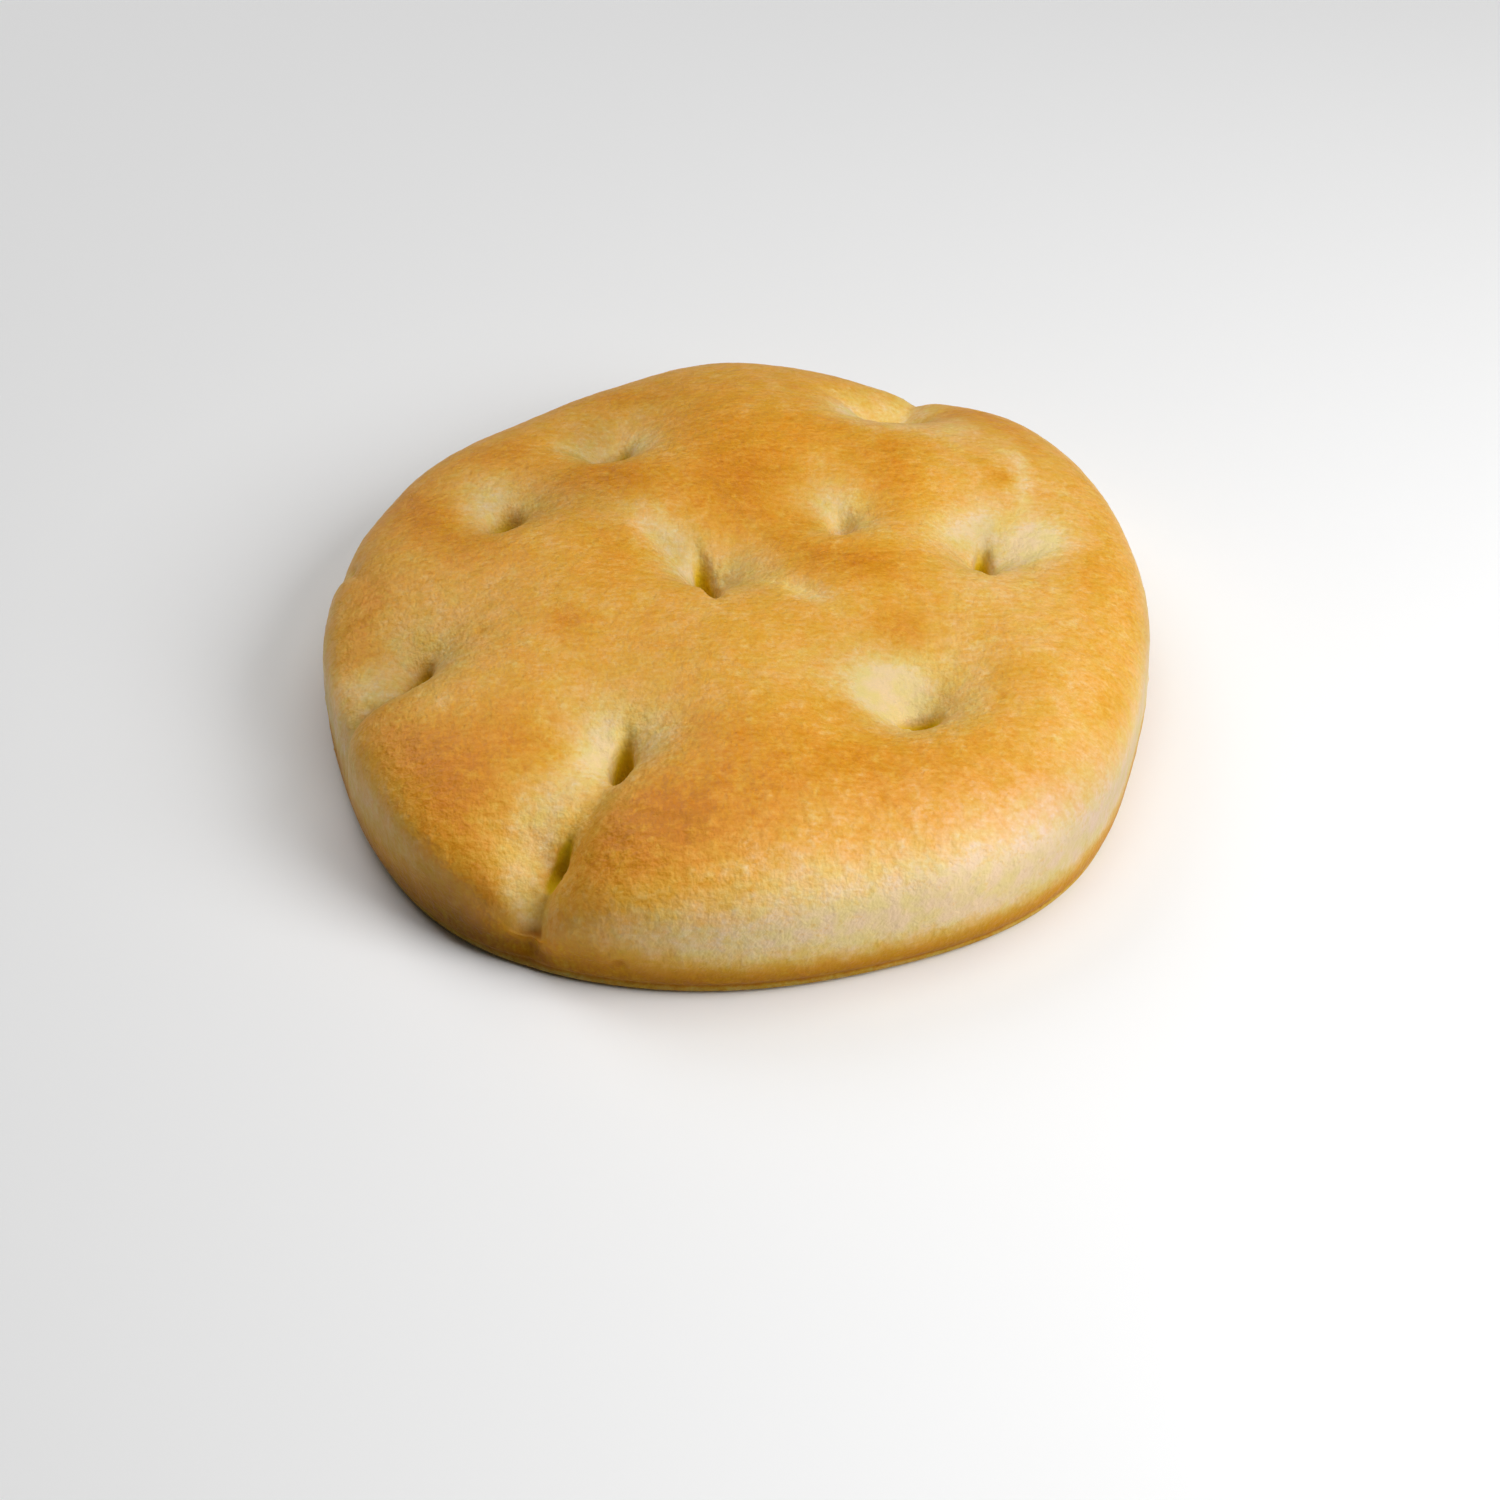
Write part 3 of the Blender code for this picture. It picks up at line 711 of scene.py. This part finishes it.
def skin_fields(skin, height, pressed):
    """What the relief and the colours need to know at each place on the skin."""
    bearing = np.arctan2(skin[:, 1], skin[:, 0])
    down = np.linalg.norm(skin, axis=1)
    side_from = SIDE_FROM - along_side(SIDE_DROP, bearing)
    side = smoothstep(side_from, side_from + SIDE_TO - SIDE_FROM, down)
    pressed_share = smoothstep(PRESSED_FROM, PRESSED_TO, pressed)
    hole = dark_hole(skin)
    on_groove_line = np.exp(-(((height - GROOVE_HEIGHT) / GROOVE_LINE_HEIGHT) ** 2))
    on_blistered = np.exp(-(((down - BLISTERED_AT) / BLISTERED_REACH) ** 2))
    ring = np.column_stack([np.cos(bearing), np.sin(bearing)]) * RADIUS
    return {
        "tone": BROWNING + patches(BROWN_PATCHES | PALE_PATCHES, skin) - PRESSED_PALENESS * pressed_share,
        "side": side,
        "side_pale": side * (1 - along_side(SIDE_BROWNED, bearing)),
        "pressed": pressed_share,
        "shade": painted_wall_shade(skin) - base_shade(bearing, height) - patches(PAINTED_LIGHT_AND_SHADE, skin),
        "groove_browning_and_shade": along_side(GROOVE_BROWNING_AND_SHADE, bearing) * on_groove_line,
        "scorch": height / (SCORCH_HEIGHT + along_side(SCORCH_RISE, bearing)),
        "foot": 1 - smoothstep(FOOT_FROM, FOOT_TO, height),
        "hole": hole,
        "blistered": along_side(BLISTERED, bearing) * on_blistered,
        "painted_sheen": patch_share(PAINTED_SHEEN, skin),
        "free": smoothstep(GROOVE_HEIGHT, FOOT_FADE, height) * (1 - HOLE_CALM * hole),
        "fibre": np.column_stack([ring, down * FIBRE_STRETCH]),
        "strain": strain(skin),
    }


def dark_hole(skin):
    """How far down the nearest deep hole each place is."""
    deep = [mark for mark in FINGER_MARKS.values() if mark.hole.depth > DARK_HOLE_DEPTH]
    return np.max([hole_share(mark.hole, skin - np.array(mark.at)) for mark in deep], axis=0)


def painted_wall_shade(skin):
    """Painted shade: how bright the crust is kept on the walls of the finger marks, 1 away from them all."""
    shade = np.ones(len(skin))
    for name, share in PAINTED_WALL_SHADES.items():
        mark = FINGER_MARKS[name]
        left = 1 / (1 + np.exp((skin[:, 0] - mark.at[0]) / WALL_EDGE))
        shade += (share - 1) * left * smoothstep(PRESSED_FROM, PRESSED_TO, mark_depth(mark, skin))
    return shade


def base_shade(bearing, height):
    """How much darker the base edge is."""
    return along_side(BASE_SHADE, bearing) * (1 - smoothstep(0, BASE_SHADE_HEIGHT, height))


def strain(skin):
    """Coordinates that wind round the nearest finger mark, so that noise on them streaks towards it."""
    places = np.array([mark.at for mark in FINGER_MARKS.values()])
    away = skin[:, None] - places[None]
    nearest = np.linalg.norm(away, axis=2).argmin(axis=1)
    away = away[np.arange(len(skin)), nearest]
    reach = np.linalg.norm(away, axis=1)
    wound = away / np.maximum(reach, SMALLEST)[:, None] * STRAIN_RADIUS
    return np.column_stack([wound, reach * STRAND_STRETCH + nearest * STRAND_SHIFT])


def crust_sheet():
    """The crust's sheet with every vertex's place and fields."""
    sheet = skin_sheet(RING_COUNT)
    refine(sheet, FINE_REACH)
    skin = np.array([v.co.xy for v in sheet.verts])
    smooth = smooth_loaf(skin)
    pressed = sum(mark_depth(mark, skin) for mark in FINGER_MARKS.values())
    fade = np.clip(smooth[:, 2] / FOOT_FADE, 0, 1)
    crust = smooth + skin_normals(skin) * ((lumps(smooth) - pressed) * fade)[:, None]
    crust = slumped(crust, skin)
    return sheet, crust, skin_fields(skin, smooth[:, 2], pressed)


def base_sheet():
    """The flat underside, which meets the crust at the rim."""
    sheet = skin_sheet(UNDERSIDE_RINGS)
    skin = np.array([v.co.xy for v in sheet.verts])
    bearing = np.arctan2(skin[:, 1], skin[:, 0])
    out = np.linalg.norm(skin, axis=1)
    radius = out / SKIN_REACH * SECTION_SHARE[-1] * outline(bearing)
    flat = np.column_stack([radius * np.cos(bearing), radius * np.sin(bearing), np.zeros(len(skin))])
    fields = {
        "tone": np.full(len(skin), UNDERSIDE_BROWNING),
        "foot": smoothstep(SKIN_REACH - UNDERSIDE_RIM, SKIN_REACH, out),
        "scorch": np.full(len(skin), UNSCORCHED),
        "shade": np.ones(len(skin)),
        "fibre": flat,
        "strain": flat,
    }
    return sheet, flat, fields


def add_loaf(name):
    """The smooth loaf as one closed mesh object, centred on the origin, with its fields as attributes."""
    joined = bmesh.new()
    crust = crust_sheet()
    _, places, fields = crust
    middle = (places.min(axis=0) + places.max(axis=0)) / 2 * [1, 1, 0]
    layers = {}
    for key, values in fields.items():
        kinds = joined.verts.layers
        layers[key] = (kinds.float_vector if values.ndim == 2 else kinds.float).new(key)
    for sheet, places, fields in (crust, base_sheet()):
        made = [joined.verts.new(place) for place in places - middle]
        for key, values in fields.items():
            for vertex, value in zip(made, values.tolist()):
                vertex[layers[key]] = value
        sheet.verts.index_update()
        for face in sheet.faces:
            joined.faces.new([made[v.index] for v in face.verts])
        sheet.free()
    rim = [v for v in joined.verts if v.is_boundary]
    bmesh.ops.remove_doubles(joined, verts=rim, dist=WELD)
    bmesh.ops.recalc_face_normals(joined, faces=joined.faces)
    mesh = bpy.data.meshes.new(name)
    joined.to_mesh(mesh)
    joined.free()
    loaf = bpy.data.objects.new(name, mesh)
    bpy.context.scene.collection.objects.link(loaf)
    return loaf


def node(tree, kind, inputs=None, **settings):
    """Adds a node. inputs maps a socket's name or number to a value, or to the socket that feeds it."""
    made = tree.nodes.new(kind)
    for name, value in settings.items():
        setattr(made, name, value)
    for name, value in (inputs or {}).items():
        if isinstance(value, bpy.types.NodeSocket):
            tree.links.new(value, made.inputs[name])
        else:
            made.inputs[name].default_value = value
    return made


def maths(tree, operation, *values, clamp=False):
    """What a Math node makes of its values, each a number or a socket."""
    made = node(tree, "ShaderNodeMath", dict(enumerate(values)), operation=operation, use_clamp=clamp)
    return made.outputs[0]


def product(tree, first, *others):
    for other in others:
        first = maths(tree, "MULTIPLY", first, other)
    return first


def difference(tree, first, *others):
    for other in others:
        first = maths(tree, "SUBTRACT", first, other)
    return first


def total(tree, amount, *parts):
    """The amount with parts added to it, each a socket and a factor."""
    for socket, factor in parts:
        amount = maths(tree, "MULTIPLY_ADD", socket, factor, amount)
    return amount


def scaled(tree, vector, factor):
    """A vector times a number."""
    made = node(tree, "ShaderNodeVectorMath", {0: vector}, operation="SCALE")
    if isinstance(factor, bpy.types.NodeSocket):
        tree.links.new(factor, made.inputs["Scale"])
    else:
        made.inputs["Scale"].default_value = factor
    return made.outputs[0]


def spread(tree, value, low, high, to_low=0.0, to_high=1.0, smooth=True):
    """Maps value from low..high to to_low..to_high and stays inside them."""
    inputs = {"Value": value, "From Min": low, "From Max": high, "To Min": to_low, "To Max": to_high}
    kind = "SMOOTHSTEP" if smooth else "LINEAR"
    return node(tree, "ShaderNodeMapRange", inputs, interpolation_type=kind).outputs["Result"]


def centred_noise(tree, place, detail=2.0, roughness=0.5):
    """Noise about 0 on a place in pattern units."""
    inputs = {"Vector": place, "Scale": 1.0, "Detail": detail, "Roughness": roughness}
    made = node(tree, "ShaderNodeTexNoise", inputs, noise_dimensions="3D")
    value = made.outputs["Fac"] if "Fac" in made.outputs else made.outputs[0]
    return maths(tree, "SUBTRACT", value, 0.5)


def field(tree, name, kind="FLOAT"):
    """A field of the loaf in a geometry tree."""
    made = node(tree, "GeometryNodeInputNamedAttribute", {"Name": name}, data_type=kind)
    return made.outputs["Attribute"]


def attribute(tree, name, output="Fac"):
    """A field of the loaf in a material."""
    return node(tree, "ShaderNodeAttribute", attribute_name=name).outputs[output]


def stored(tree, geometry, name, value):
    """The geometry with one more field on its points."""
    inputs = {"Geometry": geometry, "Name": name, "Value": value}
    made = node(tree, "GeometryNodeStoreNamedAttribute", inputs, data_type="FLOAT", domain="POINT")
    return made.outputs["Geometry"]


def mixed(tree, first, second, factor, blend_type="MIX"):
    """Mixes two colours. The colour sockets of a Mix node are its inputs 6 and 7 and its output 2."""
    inputs = {0: factor, 6: first, 7: second}
    return node(tree, "ShaderNodeMix", inputs, blend_type=blend_type, data_type="RGBA").outputs[2]


def blister_domes(tree, cells, share):
    """Round domes, 1 at their tops, in a share of the cells."""
    draw = node(tree, "ShaderNodeSeparateXYZ", {0: cells.outputs["Color"]}).outputs
    radius = spread(tree, draw["Y"], 0.0, 1.0, *BLISTER_RADII, smooth=False)
    inwards = maths(tree, "DIVIDE", cells.outputs["Distance"], radius)
    dome = spread(tree, maths(tree, "SUBTRACT", 1.0, inwards, clamp=True), 0.0, BLISTER_TOP)
    return product(tree, dome, maths(tree, "LESS_THAN", draw["X"], share))


def crust_relief():
    """The geometry tree that gives the loaf its swells, grain, blisters, fibres, strands and pores."""
    tree = bpy.data.node_groups.new("crust_relief", "GeometryNodeTree")
    tree.interface.new_socket("Geometry", in_out="INPUT", socket_type="NodeSocketGeometry")
    for name in RELIEF:
        tree.interface.new_socket(name, in_out="INPUT", socket_type="NodeSocketFloat")
    tree.interface.new_socket("Crust", in_out="INPUT", socket_type="NodeSocketMaterial")
    tree.interface.new_socket("Geometry", in_out="OUTPUT", socket_type="NodeSocketGeometry")
    given = node(tree, "NodeGroupInput").outputs
    place = node(tree, "GeometryNodeInputPosition").outputs["Position"]

    def per(size):
        """The place in units of a size."""
        return scaled(tree, place, maths(tree, "DIVIDE", 1.0, size))

    def streaks(name):
        return centred_noise(tree, scaled(tree, field(tree, name, "FLOAT_VECTOR"), 1 / STREAK_SIZE))

    def cells(spacing):
        return node(tree, "ShaderNodeTexVoronoi", {"Vector": per(spacing), "Scale": 1.0})

    blistered = product(tree, field(tree, "blistered"), given["Blister Share"])
    blister = blister_domes(tree, cells(given["Blister Spacing"]), blistered)
    pore = spread(tree, cells(given["Pore Spacing"]).outputs["Distance"], *PORE_RADII, 1.0, 0.0)
    height = total(
        tree,
        product(tree, streaks("fibre"), field(tree, "side"), given["Fibre Height"]),
        (product(tree, streaks("strain"), field(tree, "pressed")), given["Strand Height"]),
        (centred_noise(tree, per(given["Swell Size"])), given["Swell Height"]),
        (centred_noise(tree, per(given["Grain Size"]), GRAIN_DETAIL), given["Grain Height"]),
        (blister, given["Blister Height"]),
    )
    height = difference(tree, height, product(tree, pore, given["Pore Depth"]), given["Sink"])
    free = field(tree, "free")
    normal = node(tree, "GeometryNodeInputNormal").outputs["Normal"]
    offset = scaled(tree, normal, product(tree, height, free))
    marked = stored(tree, given["Geometry"], "blister", blister)
    marked = stored(tree, marked, "pore", product(tree, pore, free))
    moved = node(tree, "GeometryNodeSetPosition", {"Geometry": marked, "Offset": offset})
    real = node(tree, "GeometryNodeRealizeInstances", {"Geometry": moved.outputs["Geometry"]})
    coated = node(tree, "GeometryNodeSetMaterial", {"Geometry": real.outputs[0], "Material": given["Crust"]})
    node(tree, "NodeGroupOutput", {"Geometry": coated.outputs["Geometry"]})
    return tree


def dress(loaf, material):
    """Gives the loaf its relief and leaves it a plain mesh."""
    tree = crust_relief()
    relief = loaf.modifiers.new("crust_relief", "NODES")
    relief.node_group = tree
    for socket in tree.interface.items_tree:
        if socket.in_out == "INPUT" and socket.name in RELIEF:
            relief[socket.identifier] = RELIEF[socket.name]
        elif socket.in_out == "INPUT" and socket.name == "Crust":
            relief[socket.identifier] = material
    bpy.context.view_layer.update()
    finished = bpy.data.meshes.new_from_object(loaf.evaluated_get(bpy.context.evaluated_depsgraph_get()))
    loaf.modifiers.remove(relief)
    loaf.data = finished
    finished.shade_smooth()


def crust_noises(tree):
    """Every noise of the crust, by name, each about 0."""
    place = node(tree, "ShaderNodeTexCoord").outputs["Object"]
    noises = {}
    for name, made_of in CRUST_NOISES.items():
        spot = attribute(tree, made_of.field, "Vector") if made_of.field else place
        spot = scaled(tree, spot, 1 / made_of.size)
        noises[name] = centred_noise(tree, spot, made_of.detail, made_of.roughness)
    turned = {"Vector": place, "Rotation": (0, 0, WISP_TURN), "Scale": WISP_SCALE}
    drawn_out = node(tree, "ShaderNodeMapping", turned).outputs["Vector"]
    noises["wisps"] = centred_noise(tree, drawn_out, WISP_DETAIL, WISP_ROUGHNESS)
    return noises


def stirred(tree, amount, noises, shares, clamp=False):
    """The amount with its share of each noise added."""
    for name, share in shares.items():
        amount = maths(tree, "MULTIPLY_ADD", noises[name], share, amount, clamp=clamp)
    return amount


def scorched_share(tree, noises):
    """1 on the scorched base edge, fading to 0 above it."""
    scorch = stirred(tree, attribute(tree, "scorch"), noises, SCORCH_EDGE_NOISE)
    return spread(tree, scorch, *SCORCH_FADE, 1.0, 0.0)


def crust_tone(tree, noises, scorch):
    """How brown the crust is, from 0 to 1."""
    side = stirred(tree, attribute(tree, "side_pale"), noises, SIDE_NOISE, clamp=True)
    flecks = product(tree, spread(tree, noises["flecks"], *FLECK_RANGE), attribute(tree, "blistered"))
    tone = total(
        tree,
        stirred(tree, attribute(tree, "tone"), noises, TONE_NOISE),
        (flecks, -FLECK_PALENESS),
        (side, -SIDE_PALENESS),
        (attribute(tree, "blister"), -BLISTER_PALENESS_AND_HIGHLIGHT),
    )
    scorched = stirred(tree, SCORCH_BROWNING, noises, SCORCH_NOISE)
    tone = node(tree, "ShaderNodeMix", {"Factor": scorch, "A": tone, "B": scorched}).outputs[0]
    return total(
        tree,
        tone,
        (attribute(tree, "foot"), -FOOT_PALENESS),
        (attribute(tree, "pore"), PORE_BROWNING),
        (attribute(tree, "groove_browning_and_shade"), 1.0),
    )


def browned(tree, tone):
    """The crust's colour for how brown it is."""
    ramp = node(tree, "ShaderNodeValToRGB", {"Fac": tone})
    stops = ramp.color_ramp.elements
    for place_on, colour in CRUST_COLOURS[1:-1]:
        stops.new(place_on)
    for stop, (place_on, colour) in zip(sorted(stops, key=lambda stop: stop.position), CRUST_COLOURS):
        stop.position = place_on
        stop.color = (*colour, 1)
    return ramp.outputs["Color"]


def crust_colour(tree, tone, noises, scorch, deep):
    """The browned crust with its tints, its painted shade and sheen, and its dark holes."""
    pinkness = spread(tree, noises["tint"], *TINT_RANGE)
    tint = mixed(tree, (*OLIVE_TINT, 1), (*PINK_TINT, 1), pinkness)
    colour = mixed(tree, browned(tree, tone), tint, 1.0, "MULTIPLY")
    # The scorch's own tint, then painted shade down the side and in the marks, and the painted sheen.
    tints = (
        (SCORCH_TINT, scorch),
        (PAINTED_SIDE_SHADE, attribute(tree, "side")),
        (PRESSED_SHADE_TINT, attribute(tree, "pressed")),
        (PAINTED_SHEEN_TINT, attribute(tree, "painted_sheen")),
    )
    for tint, share in tints:
        colour = mixed(tree, colour, (*tint, 1), share, "MULTIPLY")
    # The shade field: painted shade and light, with the darker base edge.
    colour = mixed(tree, colour, attribute(tree, "shade", "Color"), 1.0, "MULTIPLY")
    return mixed(tree, colour, (*HOLE_COLOUR, 1), deep)


def baked_crust():
    """The crust's material, coloured by the loaf's fields and fine noise."""
    material = bpy.data.materials.new("baked_crust")
    material.use_nodes = True
    tree = material.node_tree
    shader = tree.nodes["Principled BSDF"]
    noises = crust_noises(tree)
    scorch = scorched_share(tree, noises)
    deep = spread(tree, attribute(tree, "hole"), *HOLE_EDGE)
    tone = crust_tone(tree, noises, scorch)
    matt = maths(tree, "MAXIMUM", scorch, deep)
    rough = stirred(tree, tone, noises, ROUGH_NOISE)
    bumps = {"Strength": BUMP_STRENGTH, "Distance": BUMP_HEIGHT}
    bumps["Height"] = stirred(tree, 0.0, noises, BUMP_NOISE)
    finish = {
        "Base Color": crust_colour(tree, tone, noises, scorch, deep),
        "Roughness": spread(tree, rough, *ROUGH_TONES, *ROUGHNESS, smooth=False),
        "Specular IOR Level": spread(tree, matt, 0.0, 1.0, GLOSS, MATT_GLOSS, smooth=False),
        "Normal": node(tree, "ShaderNodeBump", bumps).outputs["Normal"],
    }
    for name, socket in finish.items():
        tree.links.new(socket, shader.inputs[name])
    for name, value in CRUMB_GLOW.items():
        shader.inputs[name].default_value = value
    return material


def plain_material(name, colour, roughness):
    """An even material of one colour."""
    material = bpy.data.materials.new(name)
    material.use_nodes = True
    shader = material.node_tree.nodes["Principled BSDF"]
    shader.inputs["Base Color"].default_value = (*colour, 1)
    shader.inputs["Roughness"].default_value = roughness
    return material


def lay_floor():
    """A pale floor just under the loaf."""
    bpy.ops.mesh.primitive_plane_add(size=FLOOR_SIZE, location=(0, 0, -FLOOR_DROP))
    floor = bpy.context.object
    floor.name = "floor"
    floor.data.materials.append(plain_material("pale_floor", FLOOR_COLOUR, FLOOR_ROUGHNESS))


def hang_lamp(name, setting):
    """Hangs a lamp whose power grows with its distance, so that the loaf gets the light of its strength."""
    lamp = bpy.data.lights.new(name, "AREA")
    lamp.size = setting.size
    lamp.energy = setting.strength * (math.pi * setting.distance) ** 2
    hung = bpy.data.objects.new(name, lamp)
    level = math.cos(math.radians(setting.elevation))
    towards = Vector((*heading(setting.bearing) * level, math.sin(math.radians(setting.elevation))))
    hung.location = towards * setting.distance
    hung.rotation_euler = towards.to_track_quat("Z", "Y").to_euler()
    bpy.context.scene.collection.objects.link(hung)


def light_studio():
    """The lamps and a faint white sky."""
    for name, setting in LAMPS.items():
        hang_lamp(name, setting)
    world = bpy.data.worlds.new("studio")
    world.use_nodes = True
    sky = world.node_tree.nodes["Background"]
    sky.inputs["Color"].default_value = (1, 1, 1, 1)
    sky.inputs["Strength"].default_value = SKY_STRENGTH
    bpy.context.scene.world = world
    bpy.context.scene.view_settings.view_transform = "Standard"


def set_camera():
    """The camera in front of the loaf, which looks down on it."""
    lens = bpy.data.cameras.new("camera")
    lens.lens = LENS
    lens.sensor_width = SENSOR_WIDTH
    camera = bpy.data.objects.new("camera", lens)
    camera.location = CAMERA_AT
    camera.rotation_euler = (math.radians(CAMERA_TILT), 0, 0)
    bpy.context.scene.collection.objects.link(camera)
    bpy.context.scene.camera = camera


def main():
    loaf = add_loaf("focaccia_loaf")
    dress(loaf, baked_crust())
    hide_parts("focaccia")
    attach(loaf, "root")
    lay_floor()
    light_studio()
    set_camera()


main()
